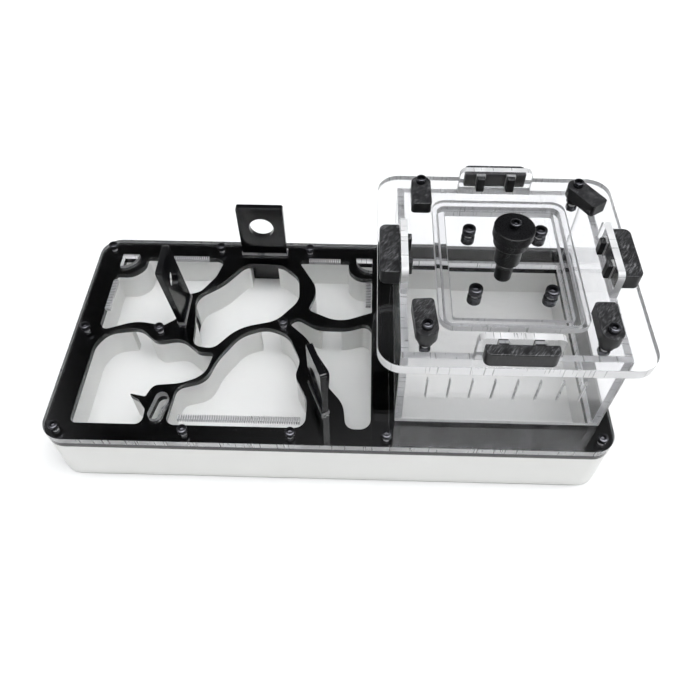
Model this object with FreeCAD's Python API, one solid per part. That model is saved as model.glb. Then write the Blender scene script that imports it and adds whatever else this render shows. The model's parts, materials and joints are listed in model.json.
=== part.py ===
import FreeCAD, Part

import math
import os

# Ant nest (formicarium): a white nest body with six chambers under a black mask sheet and a clear
# cover, three drop-in gates, and a clear foraging box with a removable top frame, a lid, four turn
# latches, four locking keys and a feeder plug.  Millimetres; +X to the foraging box, +Y to the back,
# +Z up; the origin is the centre of the bottom face.

# ---- driving dimensions -------------------------------------------------------------------------
NEST_WIDTH = 250.0            # X
NEST_DEPTH = 122.5            # Y
NEST_CORNER = 10.0            # plan radius of the stacked sheets
BASE_PLATE = 3.0              # sheet thicknesses of the stack, bottom to top
BODY_HEIGHT = 23.0
MASK_SHEET = 3.0
COVER_SHEET = 3.5
BASE_ROUND = 1.2              # softened bottom edge
CHAMBER_DEPTH = 15.0          # below the mask sheet
CHAMBER_RIM = 10.8            # solid border left of and behind the chamber field
FRONT_RIM = 9.7               # solid border in front of it
FIELD_WIDTH = 133.4           # chamber field, left part of the nest

BOX_WIDTH = 89.0              # outside of the foraging box
BOX_DEPTH = 98.6
BOX_WALL = 3.0
BOX_HEIGHT = 45.0             # walls, cover to frame
BOX_RIGHT_GAP = 6.3           # nest edge to box
BOX_BACK_SHIFT = 1.2          # box centre behind the nest centre
FRAME_SHEET = 5.0             # thickness of the top frame
FRAME_SIDE = 9.3              # overhang left and right
FRAME_END = 6.0               # overhang front and back
FRAME_CORNER = 10.0

LID_WIDTH = 59.4
LID_DEPTH = 73.0
LID_CORNER = 6.0
LID_SHEET = 3.0
LID_LAP = 2.4                 # lid border that rests on the frame
LID_RING = 3.0                # height and width of the locating ring under the lid
LID_FORWARD = 1.4             # lid centre in front of the box centre

PORT_RADIUS = 8.5             # quarter-round water ports
PORT_LAND = 4.0               # solid left around a water port
PORT_SHIFT = 1.5              # left port corner from the field edge
GATE_SHEET = 3.0
GATE_BACK_WIDTH = 23.6
GATE_INNER_WIDTH = 18.4
GATE_BACK_SHOW = 30.5         # height of the closed gates above the cover
GATE_LEFT_SHOW = 34.5
GATE_RIGHT_SHOW = 28.0
GATE_SEAT = 1.5               # slot depth below the chamber floor
GATE_HOLE_DROP = 13.4         # gate top to hole centre
GATE_LEAN = 6.0               # slant of the left gate towards -X, degrees
TUNNEL_WIDTH = 10.0
TUBE_RADIUS = 5.0             # back port for a feeding tube
TUBE_CHANNEL = 15.0           # width of the channel behind it

KEY_LENGTH = 28.0
KEY_HEIGHT = 7.2
TENON_WIDTH = 3.6
TENON_PITCH = 13.6
TAB_WIDTH = 33.0
TAB_RISE = 10.2               # wall tab above the frame
LATCH_WIDTH = 8.8
LATCH_LENGTH = 18.8
LATCH_SHEET = 5.5
LATCH_INSET_X = 9.8           # pivot from the outside of the box wall
LATCH_INSET_Y = 7.0

SLIDE_GAP = 0.3               # clearance each side of a sliding sheet
FIT_GAP = 0.1                 # clearance under and around turning or drop-in pieces
THREAD_GAP = 0.05
PIVOT_GAP = 0.08              # latch bore around its screw shank

# ---- socket head screws -------------------------------------------------------------------------
M25 = {"shank": 1.25, "head": 2.25, "head_height": 2.5, "hex": 2.0}
M3 = {"shank": 1.5, "head": 2.9, "head_height": 3.0, "hex": 2.5}

# ---- levels and places that follow ----------------------------------------------------------------
Z_BODY = BASE_PLATE
Z_MASK = Z_BODY + BODY_HEIGHT
Z_COVER = Z_MASK + MASK_SHEET
Z_TOP = Z_COVER + COVER_SHEET
Z_FLOOR = Z_MASK - CHAMBER_DEPTH
Z_FRAME = Z_TOP + BOX_HEIGHT
Z_FRAME_TOP = Z_FRAME + FRAME_SHEET
Z_LID_TOP = Z_FRAME_TOP + LID_SHEET
Z_GATE_SEAT = Z_FLOOR - GATE_SEAT
Z_TUNNEL = Z_FLOOR + 0.5 * CHAMBER_DEPTH

FIELD_DEPTH = NEST_DEPTH - CHAMBER_RIM - FRONT_RIM
FIELD_LEFT = -0.5 * NEST_WIDTH + CHAMBER_RIM
FIELD_FRONT = -0.5 * NEST_DEPTH + FRONT_RIM

BOX_X = 0.5 * NEST_WIDTH - BOX_RIGHT_GAP - 0.5 * BOX_WIDTH
BOX_Y = BOX_BACK_SHIFT
INNER_WIDTH = BOX_WIDTH - 2 * BOX_WALL
INNER_DEPTH = BOX_DEPTH - 2 * BOX_WALL
LID_X = BOX_X
LID_Y = BOX_Y - LID_FORWARD
LATCH_REACH_X = 0.5 * BOX_WIDTH - LATCH_INSET_X
LATCH_REACH_Y = 0.5 * BOX_DEPTH - LATCH_INSET_Y
LATCH_SPACER = LID_SHEET + FIT_GAP


# ---- plain shapes ---------------------------------------------------------------------------------
def block(x, y, z, width, depth, height):
    """Box centred on (x, y) that stands on z."""
    corner = FreeCAD.Vector(x - 0.5 * width, y - 0.5 * depth, z)
    return Part.makeBox(width, depth, height, corner)


def rod(x, y, z, radius, height):
    """Upright cylinder that stands on z."""
    return Part.makeCylinder(radius, height, FreeCAD.Vector(x, y, z))


def joined(shapes):
    """One solid from touching or overlapping shapes."""
    whole = shapes[0]
    for shape in shapes[1:]:
        whole = whole.fuse(shape)
    return whole.removeSplitter()


def drilled(shape, tools):
    """The shape with every tool cut away."""
    return shape.cut(Part.makeCompound(tools))


def outline(points):
    """Closed wire through (x, y, radius) corners, each rounded by a tangent arc."""
    count = len(points)
    corners = [FreeCAD.Vector(x, y, 0.0) for x, y, _ in points]
    edges = []
    ends = []
    for index, (_, _, radius) in enumerate(points):
        here = corners[index]
        back = corners[index - 1] - here
        ahead = corners[(index + 1) % count] - here
        room = 0.49 * min(back.Length, ahead.Length)
        half_turn = 0.5 * back.getAngle(ahead)
        reach = min(radius / math.tan(half_turn), room)
        arc_radius = reach * math.tan(half_turn)
        start = here + back.normalize() * reach
        end = here + ahead.normalize() * reach
        middle_way = (back + ahead).normalize()
        middle = here + middle_way * (arc_radius / math.sin(half_turn) - arc_radius)
        edges.append(Part.Arc(start, middle, end).toShape())
        ends.append((start, end))
    lines = []
    for index in range(count):
        start = ends[index][1]
        end = ends[(index + 1) % count][0]
        lines.append(Part.LineSegment(start, end).toShape())
    ordered = [edge for pair in zip(edges, lines) for edge in pair]
    return Part.Wire(ordered)


def slab(points, z, thickness):
    """Sheet of the given outline that lies on z."""
    face = Part.Face(outline(points))
    face.translate(FreeCAD.Vector(0, 0, z))
    return face.extrude(FreeCAD.Vector(0, 0, thickness))


def rounded(x, y, width, depth, radius):
    """Corner list of a rounded rectangle centred on (x, y)."""
    signs = ((-1, -1), (1, -1), (1, 1), (-1, 1))
    return [(x + 0.5 * sx * width, y + 0.5 * sy * depth, radius) for sx, sy in signs]


def turned(shape, x, y, angle):
    """The shape turned about the upright line through (x, y)."""
    copy = shape.copy()
    copy.rotate(FreeCAD.Vector(x, y, 0), FreeCAD.Vector(0, 0, 1), angle)
    return copy


def socket_screw(x, y, seat, size, length):
    """Socket head screw: the head stands on seat and the shank hangs below it."""
    head = rod(x, y, seat, size["head"], size["head_height"])
    rim = 0.12 * size["head_height"]
    head = head.makeChamfer(rim, [edge for edge in head.Edges if edge.BoundBox.ZMin > seat + rim])
    shank = rod(x, y, seat - length, size["shank"] - THREAD_GAP, length)
    corners = []
    for step in range(6):
        angle = math.radians(60 * step)
        across = size["hex"] / math.sqrt(3)
        corners.append(FreeCAD.Vector(x + across * math.cos(angle), y + across * math.sin(angle), 0))
    depth = 0.55 * size["head_height"]
    top = seat + size["head_height"]
    socket = Part.Face(Part.makePolygon(corners + corners[:1]))
    socket.translate(FreeCAD.Vector(0, 0, top - depth))
    return joined([head, shank]).cut(socket.extrude(FreeCAD.Vector(0, 0, depth)))


# ---- chamber plan -----------------------------------------------------------------------------------
# Corners are (along X, along Y, radius) from the front left corner of the chamber field, as drawn
# for a field of DRAWN_WIDTH x DRAWN_DEPTH.
DRAWN_WIDTH = 133.4
DRAWN_DEPTH = 102.0
PORT_REACH = PORT_RADIUS + PORT_LAND
LEFT_REACH = PORT_REACH + PORT_SHIFT
PORT_BEND = 8.2               # the land around a port is two arcs that make a quarter round
PORT_CUT = 0.57               # where they begin, as a share of the reach
CUT_CORNER = 0.8

CHAMBERS = {
    "back_left": [
        (0, DRAWN_DEPTH - PORT_REACH, CUT_CORNER),
        (PORT_CUT * LEFT_REACH, DRAWN_DEPTH - PORT_REACH, PORT_BEND),
        (LEFT_REACH, DRAWN_DEPTH - PORT_CUT * PORT_REACH, PORT_BEND), (LEFT_REACH, DRAWN_DEPTH, CUT_CORNER),
        (55.7, DRAWN_DEPTH, 4), (52.5, 89, 14), (46, 78.5, 6),
        (38.2, 75.5, 2), (36.6, 60, 3), (31, 55.8, 3), (17.5, 58.4, 20), (2.5, 52.5, 3), (0, 56, 2)],
    "back_middle": [
        (47.5, 43.9, 5), (57.7, 42.5, 6), (68.2, 55.5, 22), (86.2, 60.3, 14), (96.8, 73.8, 12),
        (95.4, 89.8, 10), (85.7, 98.4, 9), (66.7, 98.4, 7), (56.7, 84.8, 30), (43.9, 75.3, 9),
        (46.7, 57.3, 25)],
    "back_right": [
        (94, DRAWN_DEPTH, 1.5), (DRAWN_WIDTH - PORT_REACH, DRAWN_DEPTH, CUT_CORNER),
        (DRAWN_WIDTH - PORT_REACH, DRAWN_DEPTH - PORT_CUT * PORT_REACH, PORT_BEND),
        (DRAWN_WIDTH - PORT_CUT * PORT_REACH, DRAWN_DEPTH - PORT_REACH, PORT_BEND),
        (DRAWN_WIDTH, DRAWN_DEPTH - PORT_REACH, CUT_CORNER), (DRAWN_WIDTH, 66.8, CUT_CORNER),
        (117.2, 60.2, 16), (101.5, 67.8, 3), (106, 81.3, 14)],
    "front_right": [
        (92.5, 59.1, 2.2), (96.4, 63.3, 3.5), (106.7, 56.7, 12), (121.2, 56.4, 20),
        (DRAWN_WIDTH, 60.7, 4), (DRAWN_WIDTH, 0, 5), (122.4, 0, 4.5), (121, 12.8, 14),
        (114, 21.6, 1.5), (114.2, 29.8, 8), (101.7, 50.3, 18)],
    "front_left": [
        (0, 0, 3), (32.1, 0, 3.5), (32.1, 7.8, 4), (27.7, 13.1, 6), (21.6, 16.3, 0.4),
        (30.8, 14.5, 0.6), (33.2, 20.8, 4.5), (45.2, 22, 20), (56, 26.8, 11), (58.4, 39.8, 1.2),
        (51.2, 40.1, 6), (41.7, 48.3, 9), (29.7, 45.7, 6), (20.2, 54.2, 9), (4.7, 51.9, 10),
        (0, 43.4, 12)],
    "front_middle": [
        (42.2, 0, 4), (104.4, 0, 5), (104.6, 14.3, 12), (98, 27.8, 7), (100, 36.3, 10),
        (93, 52.0, 12), (81.7, 56.5, 12), (69.7, 51.9, 16), (60.7, 37.3, 30), (56.7, 24.3, 9),
        (44, 20.6, 5)],
}


def field_point(along_x, along_y):
    """Place of a drawn point on the nest."""
    x = FIELD_LEFT + along_x * FIELD_WIDTH / DRAWN_WIDTH
    y = FIELD_FRONT + along_y * FIELD_DEPTH / DRAWN_DEPTH
    return x, y


def field_outline(points):
    """Corner list of a drawn chamber on the nest."""
    return [field_point(x, y) + (radius,) for x, y, radius in points]


# Gates: centre on the cover, turn of the sheet about Z, width, height above the cover, hole radius
# and lean.
GATE_BACK_X, _ = field_point(76.1, 0)
GATE_BACK_Y = 0.5 * NEST_DEPTH - 6.1
GATES = {
    "gate_back": (GATE_BACK_X, GATE_BACK_Y, 0.0, GATE_BACK_WIDTH, GATE_BACK_SHOW, 6.2, 0.0),
    "gate_left": field_point(40.1, 65.7) + (90.0, GATE_INNER_WIDTH, GATE_LEFT_SHOW, 5.0, GATE_LEAN),
    "gate_right": field_point(109.7, 15.7) + (113.0, GATE_INNER_WIDTH, GATE_RIGHT_SHOW, 5.0, 0.0),
}


def gate_posed(shape, x, y, angle, lean):
    """The upright shape turned about Z and then leaned towards -X about its line on the cover."""
    copy = turned(shape, x, y, angle)
    copy.rotate(FreeCAD.Vector(x, y, Z_TOP), FreeCAD.Vector(0, 1, 0), -lean)
    return copy


def gate_slots(z, height):
    """Slots that let the three gates through a layer; they run out of it above and below."""
    slots = []
    low = max(z - 1.0, Z_GATE_SEAT)
    for x, y, angle, width, _, _, lean in GATES.values():
        depth = GATE_SHEET + 2 * SLIDE_GAP
        slot = block(x, y, low, width + 2 * SLIDE_GAP, depth, z + height + 1.0 - low)
        slots.append(gate_posed(slot, x, y, angle, lean))
    return slots


def port_corners(inset, z, height):
    """The two quarter-round water ports in the back corners of the field."""
    ports = []
    back = FIELD_FRONT + FIELD_DEPTH
    for x, start in ((FIELD_LEFT + PORT_SHIFT, 270), (FIELD_LEFT + FIELD_WIDTH, 180)):
        centre = FreeCAD.Vector(x, back, z)
        radius = PORT_RADIUS - 2.5 * inset
        up = FreeCAD.Vector(0, 0, 1)
        port = Part.makeCylinder(radius, height, centre, up, 90)
        port.rotate(centre, up, start)
        side = 1 if start == 270 else -1
        port.translate(FreeCAD.Vector(side * inset, -inset, 0))
        ports.append(port)
    return ports


def front_port(inset, z, height):
    """Slanting oval water port between the two front chambers."""
    x, y = field_point(38.2, 8.7)
    length = 14.4 - 2 * inset
    width = 5.8 - 2 * inset
    return turned(slab(rounded(x, y, width, length, 0.49 * width), z, height), x, y, -12)


# ---- cover screws -------------------------------------------------------------------------------
SCREW_EDGE = 6.0
SCREW_ROW = 5.4


def cover_screw_places():
    """Screw centres: corners, front and back rows, left side and two bosses inside the nest."""
    half_x = 0.5 * NEST_WIDTH
    half_y = 0.5 * NEST_DEPTH
    row_y = half_y - SCREW_ROW
    places = [(sx * (half_x - SCREW_EDGE), sy * (half_y - SCREW_EDGE)) for sx in (-1, 1) for sy in (-1, 1)]
    front_row = [field_point(51.6, 0)[0], field_point(98.5, 0)[0], BOX_X - 0.5 * BOX_WIDTH - 3.6]
    back_row = [field_point(52.8, 0)[0], field_point(100.1, 0)[0], BOX_X - 0.5 * BOX_WIDTH - 1.4]
    places += [(x, -row_y) for x in front_row]
    places += [(x, row_y) for x in back_row]
    places += [(-half_x + SCREW_ROW, 0.0), field_point(30.6, 52.1), field_point(90.2, 57.0)]
    return places


COVER_SCREW_LENGTH = COVER_SHEET + MASK_SHEET + 5.5
INSERT_RADIUS = 1.75
INSERT_LENGTH = 6.0


def round_holes(places, radius, z, height):
    """Upright round holes at the given places."""
    return [rod(x, y, z, radius, height) for x, y in places]


# ---- nest stack ---------------------------------------------------------------------------------
def nest_plan():
    """Outline of every sheet of the stack."""
    return rounded(0, 0, NEST_WIDTH, NEST_DEPTH, NEST_CORNER)


def box_mouth(z, height):
    """Opening of the foraging box down through a layer."""
    return block(BOX_X, BOX_Y, z, INNER_WIDTH, INNER_DEPTH, height)


def tunnels():
    """Channels under the mask that join the chambers, and the one that leads to the box."""
    depth = Z_MASK - Z_FLOOR
    cuts = []
    for name in ("gate_left", "gate_right"):
        x, y, angle = GATES[name][:3]
        cuts.append(turned(block(x, y, Z_FLOOR, TUNNEL_WIDTH, 26.0, depth), x, y, angle))
    for along_x, low, high in ((20.5, 48, 64), (83.5, 50, 66), (113.5, 52, 68)):
        x, front = field_point(along_x, low)
        _, back = field_point(along_x, high)
        cuts.append(block(x, 0.5 * (front + back), Z_FLOOR, TUNNEL_WIDTH, back - front, depth))
    left, y = field_point(128, 38)
    right = BOX_X - 0.5 * INNER_WIDTH + 1.0
    cuts.append(block(0.5 * (left + right), y, Z_FLOOR, right - left, TUNNEL_WIDTH, depth))
    return cuts


def tube_port():
    """Round back port that ends in the gate slot, and the channel from there to the middle chamber."""
    start = FreeCAD.Vector(GATE_BACK_X, 0.5 * NEST_DEPTH, Z_TUNNEL)
    length = 0.5 * NEST_DEPTH - GATE_BACK_Y
    bore = Part.makeCylinder(TUBE_RADIUS, length, start, FreeCAD.Vector(0, -1, 0))
    _, chamber_edge = field_point(0, 96.0)
    depth = GATE_BACK_Y - chamber_edge
    y = 0.5 * (GATE_BACK_Y + chamber_edge)
    return [bore, block(GATE_BACK_X, y, Z_FLOOR, TUBE_CHANNEL, depth, Z_MASK - Z_FLOOR)]


def make_nest_body():
    """White body with the chambers, the box pocket, the gate slots and the water wells."""
    body = slab(nest_plan(), Z_BODY, BODY_HEIGHT)
    hollow = [slab(field_outline(plan), Z_FLOOR, CHAMBER_DEPTH) for plan in CHAMBERS.values()]
    hollow += tunnels()
    hollow.append(block(BOX_X, BOX_Y, Z_FLOOR, INNER_WIDTH, INNER_DEPTH, CHAMBER_DEPTH))
    hollow += gate_slots(Z_GATE_SEAT, Z_MASK - Z_GATE_SEAT)
    hollow += tube_port()
    hollow += port_corners(0.0, Z_FLOOR, CHAMBER_DEPTH)
    hollow.append(front_port(0.0, Z_FLOOR, CHAMBER_DEPTH))
    hollow += round_holes(cover_screw_places(), INSERT_RADIUS, Z_MASK - INSERT_LENGTH, INSERT_LENGTH)
    for tool in hollow:
        body = body.cut(tool)
    return body.removeSplitter()


def make_base_plate():
    """White bottom sheet with a softened lower edge."""
    plate = slab(nest_plan(), 0.0, BASE_PLATE)
    lower = [edge for edge in plate.Edges if edge.BoundBox.ZMax < 0.01]
    return plate.makeFillet(BASE_ROUND, lower)


def make_mask_sheet():
    """Black sheet that leaves only the chambers, ports and the box open."""
    sheet = slab(nest_plan(), Z_MASK, MASK_SHEET)
    cuts = [slab(field_outline(plan), Z_MASK, MASK_SHEET) for plan in CHAMBERS.values()]
    cuts += gate_slots(Z_MASK, MASK_SHEET)
    cuts += port_corners(0.0, Z_MASK, MASK_SHEET)
    cuts.append(front_port(0.0, Z_MASK, MASK_SHEET))
    cuts.append(box_mouth(Z_MASK, MASK_SHEET))
    cuts += round_holes(cover_screw_places(), M25["shank"] + FIT_GAP, Z_MASK, MASK_SHEET)
    for tool in cuts:
        sheet = sheet.cut(tool)
    return sheet.removeSplitter()


VENT_PITCH = 1.05
VENT_SLIT = 0.5
VENT_LENGTH = 2.5
VENT_EDGE = 0.6               # slit end inside the chamber edge


def vent_rows():
    """Fine slits in the cover along the chamber edges."""
    reach = 0.5 * VENT_LENGTH + VENT_EDGE
    rows = (("x", 22.7, 24, DRAWN_DEPTH, -reach), ("x", 100.5, 16, DRAWN_DEPTH, -reach),
            ("x", 48.3, 52, 1.1, reach), ("y", 64.6, 19, 0.0, reach), ("y", 70.1, 15, DRAWN_WIDTH, -reach))
    slits = []
    for way, start, count, edge, side in rows:
        for index in range(count):
            if way == "x":
                x, y = field_point(start, edge)
                x += index * VENT_PITCH
                slits.append(block(x, y + side, Z_COVER, VENT_SLIT, VENT_LENGTH, COVER_SHEET))
            else:
                x, y = field_point(edge, start)
                y += index * VENT_PITCH
                slits.append(block(x + side, y, Z_COVER, VENT_LENGTH, VENT_SLIT, COVER_SHEET))
    return slits


def make_cover_plate():
    """Clear cover with the vents, gate slots, water ports and the mouth of the box."""
    cover = slab(nest_plan(), Z_COVER, COVER_SHEET)
    cuts = gate_slots(Z_COVER, COVER_SHEET)
    cuts += port_corners(0.0, Z_COVER, COVER_SHEET)
    cuts.append(front_port(0.0, Z_COVER, COVER_SHEET))
    cuts.append(box_mouth(Z_COVER, COVER_SHEET))
    cuts += round_holes(cover_screw_places(), M25["shank"] + FIT_GAP, Z_COVER, COVER_SHEET)
    for tool in cuts:
        cover = cover.cut(tool)
    return drilled(cover, vent_rows())


def make_cover_screws():
    """Screws that clamp the cover and the mask onto the body."""
    screws = [socket_screw(x, y, Z_TOP, M25, COVER_SCREW_LENGTH) for x, y in cover_screw_places()]
    return Part.makeCompound(screws)


def make_cover_inserts():
    """Threaded inserts in the body under the cover screws."""
    inserts = []
    for x, y in cover_screw_places():
        sleeve = rod(x, y, Z_MASK - INSERT_LENGTH, INSERT_RADIUS, INSERT_LENGTH)
        inserts.append(sleeve.cut(rod(x, y, Z_MASK - INSERT_LENGTH, M25["shank"], INSERT_LENGTH)))
    return Part.makeCompound(inserts)


def make_gate(name):
    """Black slide that drops through the cover and closes a passage; its hole is a finger pull."""
    x, y, angle, width, show, hole, lean = GATES[name]
    height = Z_TOP + show - Z_GATE_SEAT
    sheet = block(x, y, Z_GATE_SEAT, width, GATE_SHEET, height)
    upright = [edge for edge in sheet.Edges if abs(edge.BoundBox.YLength - GATE_SHEET) < 0.01]
    tops = [edge for edge in upright if edge.BoundBox.ZMin > Z_TOP]
    sheet = sheet.makeFillet(1.2, tops)
    centre = FreeCAD.Vector(x, y - GATE_SHEET, Z_TOP + show - GATE_HOLE_DROP)
    sheet = sheet.cut(Part.makeCylinder(hole, 2 * GATE_SHEET, centre, FreeCAD.Vector(0, 1, 0)))
    return gate_posed(sheet, x, y, angle, lean)


WICK_GAP = 0.4
WICK_LOW = 4.0                # wick top below the mask sheet


def make_wicks():
    """Absorbent wicks that stand in the three water ports."""
    low = Z_FLOOR
    height = CHAMBER_DEPTH - WICK_LOW
    back_left, back_right = port_corners(WICK_GAP, low, height)
    return {"wick_back_left": back_left, "wick_back_right": back_right,
            "wick_front": front_port(WICK_GAP, low, height)}


# ---- foraging box -------------------------------------------------------------------------------
TENON_GAP = 0.25
WALL_VENTS = 8
WALL_VENT_PITCH = 9.1
WALL_VENT_SHIFT = -1.1        # middle of the row from the middle of the wall
WALL_VENT_LOW = 19.0
WALL_VENT_HIGH = 32.5


def wall_sheet(length):
    """Wall drawn in the XZ plane about x = 0, with its locking tab; its outside faces -Y."""
    sheet = block(0, 0.5 * BOX_WALL, Z_TOP, length, BOX_WALL, BOX_HEIGHT)
    tab_height = FRAME_SHEET + TAB_RISE
    tab = block(0, 0.5 * BOX_WALL, Z_FRAME, TAB_WIDTH, BOX_WALL, tab_height)
    shoulders = [edge for edge in tab.Edges
                 if abs(edge.BoundBox.YLength - BOX_WALL) < 0.01 and edge.BoundBox.ZMin > Z_FRAME_TOP]
    tab = tab.makeFillet(3.0, shoulders)
    slots = []
    for side in (-1, 1):
        width = TENON_WIDTH + 2 * TENON_GAP
        height = KEY_HEIGHT + FIT_GAP + TENON_GAP
        slots.append(block(side * 0.5 * TENON_PITCH, 0.5 * BOX_WALL, Z_FRAME_TOP, width, BOX_WALL, height))
    return joined([sheet, tab]).cut(Part.makeCompound(slots))


def placed(shape, x, y, angle):
    """The shape turned about Z at the origin and then moved to (x, y)."""
    copy = turned(shape, 0, 0, angle)
    copy.translate(FreeCAD.Vector(x, y, 0))
    return copy


SIDES = {
    "front": (BOX_X, BOX_Y - 0.5 * BOX_DEPTH, 0),
    "back": (BOX_X, BOX_Y + 0.5 * BOX_DEPTH, 180),
    "left": (BOX_X - 0.5 * BOX_WIDTH, BOX_Y, 270),
    "right": (BOX_X + 0.5 * BOX_WIDTH, BOX_Y, 90),
}


def make_wall(side):
    """One clear wall of the box."""
    x, y, angle = SIDES[side]
    long_wall = side in ("front", "back")
    wall = wall_sheet(BOX_WIDTH if long_wall else INNER_DEPTH)
    if side == "front":
        slits = []
        for index in range(WALL_VENTS):
            slit_x = WALL_VENT_SHIFT + (index - 0.5 * (WALL_VENTS - 1)) * WALL_VENT_PITCH
            height = WALL_VENT_HIGH - WALL_VENT_LOW
            slits.append(block(slit_x, 0.5 * BOX_WALL, Z_TOP + WALL_VENT_LOW, VENT_SLIT, BOX_WALL, height))
        wall = drilled(wall, slits)
    return placed(wall, x, y, angle)


def make_top_frame():
    """Clear frame that drops over the wall tabs and carries the lid and the latches."""
    z = Z_FRAME
    width = BOX_WIDTH + 2 * FRAME_SIDE
    depth = BOX_DEPTH + 2 * FRAME_END
    sheet = slab(rounded(BOX_X, BOX_Y, width, depth, FRAME_CORNER), z, FRAME_SHEET)
    mouth = rounded(LID_X, LID_Y, LID_WIDTH - 2 * LID_LAP, LID_DEPTH - 2 * LID_LAP, LID_CORNER - LID_LAP)
    cuts = [slab(mouth, z, FRAME_SHEET)]
    for x, y, angle in SIDES.values():
        slot = block(0, 0.5 * BOX_WALL, z, TAB_WIDTH + 2 * FIT_GAP, BOX_WALL + 2 * FIT_GAP, FRAME_SHEET)
        cuts.append(placed(slot, x, y, angle))
    cuts += round_holes(latch_places().values(), M25["shank"] + FIT_GAP, z, FRAME_SHEET)
    for tool in cuts:
        sheet = sheet.cut(tool)
    return sheet


def latch_places():
    """Latch pivots near the corners of the frame; the rear pair sits a little further in."""
    front = BOX_Y - LATCH_REACH_Y - 0.8
    return {
        "front_left": (BOX_X - LATCH_REACH_X - 0.5, front),
        "front_right": (BOX_X + LATCH_REACH_X - 0.5, front),
        "back_left": (BOX_X - LATCH_REACH_X, BOX_Y + LATCH_REACH_Y - 2.0),
        "back_right": (BOX_X + LATCH_REACH_X + 0.7, BOX_Y + LATCH_REACH_Y - 2.7),
    }


# Direction that each open latch points in, degrees from +X.
LATCH_TURN = {"front_left": 95.0, "front_right": 90.0, "back_left": 270.0, "back_right": 304.0}
SPACER_RADIUS = 3.2
LATCH_TIP_CUT = 1.6


def make_latch(name):
    """Turn latch: a bar with one round end on the pivot and a chamfered tip."""
    x, y = latch_places()[name]
    half = 0.5 * LATCH_WIDTH
    tip = x + LATCH_LENGTH - half
    plan = [(x - half, y - half, 0.98 * half), (tip, y - half, LATCH_TIP_CUT),
            (tip, y + half, LATCH_TIP_CUT), (x - half, y + half, 0.98 * half)]
    bar = slab(plan, Z_FRAME_TOP + LATCH_SPACER, LATCH_SHEET)
    bore = M25["shank"] - THREAD_GAP + PIVOT_GAP
    bar = bar.cut(rod(x, y, Z_FRAME_TOP, bore, LATCH_SPACER + LATCH_SHEET))
    return turned(bar, x, y, LATCH_TURN[name])


LATCH_NUT_RADIUS = 2.5
LATCH_NUT_HEIGHT = 2.0


def make_latch_spacers():
    """Round spacers that hold the latches at the height of the lid."""
    spacers = []
    for x, y in latch_places().values():
        spacer = rod(x, y, Z_FRAME_TOP, SPACER_RADIUS, LATCH_SPACER - FIT_GAP)
        spacers.append(spacer.cut(rod(x, y, Z_FRAME_TOP, M25["shank"], LATCH_SPACER)))
    return Part.makeCompound(spacers)


def make_latch_screws():
    """Pivot screws of the latches."""
    seat = Z_FRAME_TOP + LATCH_SPACER + LATCH_SHEET + FIT_GAP
    length = seat - Z_FRAME + LATCH_NUT_HEIGHT + 0.4
    return Part.makeCompound([socket_screw(x, y, seat, M25, length) for x, y in latch_places().values()])


def hex_nut(x, y, top, radius, height, bore):
    """Hexagon nut that hangs below top."""
    corners = []
    for step in range(7):
        angle = math.radians(60 * step + 30)
        corner = FreeCAD.Vector(math.cos(angle), math.sin(angle), 0) * radius
        corners.append(corner + FreeCAD.Vector(x, y, top - height))
    body = Part.Face(Part.makePolygon(corners)).extrude(FreeCAD.Vector(0, 0, height))
    return body.cut(rod(x, y, top - height, bore, height))


def make_latch_nuts():
    """Nuts of the pivot screws under the frame."""
    nuts = []
    for x, y in latch_places().values():
        nuts.append(hex_nut(x, y, Z_FRAME, LATCH_NUT_RADIUS, LATCH_NUT_HEIGHT, M25["shank"]))
    return Part.makeCompound(nuts)


# ---- locking keys -------------------------------------------------------------------------------
KEY_DEPTH = {"front": 5.2, "back": 5.2, "left": 8.6, "right": 8.6}
KEY_CORNER = 3.0
TENON_PROUD = 2.0
TENON_ROOT = 1.0              # tenon length buried in the bar while it is joined


def make_key(side):
    """Black bar that lies on the frame; its two tenons pass through the wall tab and lock the frame."""
    x, y, angle = SIDES[side]
    low = Z_FRAME_TOP + FIT_GAP
    face = -FIT_GAP
    depth = KEY_DEPTH[side]
    plan = [(-0.5 * KEY_LENGTH, face - depth, KEY_CORNER), (0.5 * KEY_LENGTH, face - depth, KEY_CORNER),
            (0.5 * KEY_LENGTH, face, CUT_CORNER), (-0.5 * KEY_LENGTH, face, CUT_CORNER)]
    parts = [slab(plan, low, KEY_HEIGHT)]
    reach = BOX_WALL + TENON_PROUD - face
    for way in (-1, 1):
        centre = 0.5 * way * TENON_PITCH
        length = reach + TENON_ROOT
        parts.append(block(centre, face + reach - 0.5 * length, low, TENON_WIDTH, length, KEY_HEIGHT))
    return placed(joined(parts), x, y, angle)


# ---- lid and feeder plug ------------------------------------------------------------------------
LID_SCREW_X = 30.6
LID_SCREW_Y = 34.4
LID_SCREW_SHIFT = (0.7, -1.8)
LID_SCREW_LENGTH = LID_SHEET + 3.6
LID_NUT_RADIUS = 2.9
LID_NUT_HEIGHT = 3.2

PLUG_NOZZLE = 3.65
PLUG_BODY = 5.5
PLUG_COLLAR = 7.3
PLUG_CAP = 8.3
PLUG_BELOW = 8.5
PLUG_BODY_HEIGHT = 9.2
PLUG_COLLAR_HEIGHT = 4.5
PLUG_CAP_HEIGHT = 4.5


def lid_screw_places():
    """Rectangle of screws around the feeder plug."""
    x = LID_X + LID_SCREW_SHIFT[0]
    y = LID_Y + LID_SCREW_SHIFT[1]
    return [(x + 0.5 * sx * LID_SCREW_X, y + 0.5 * sy * LID_SCREW_Y) for sx in (-1, 1) for sy in (-1, 1)]


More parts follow.
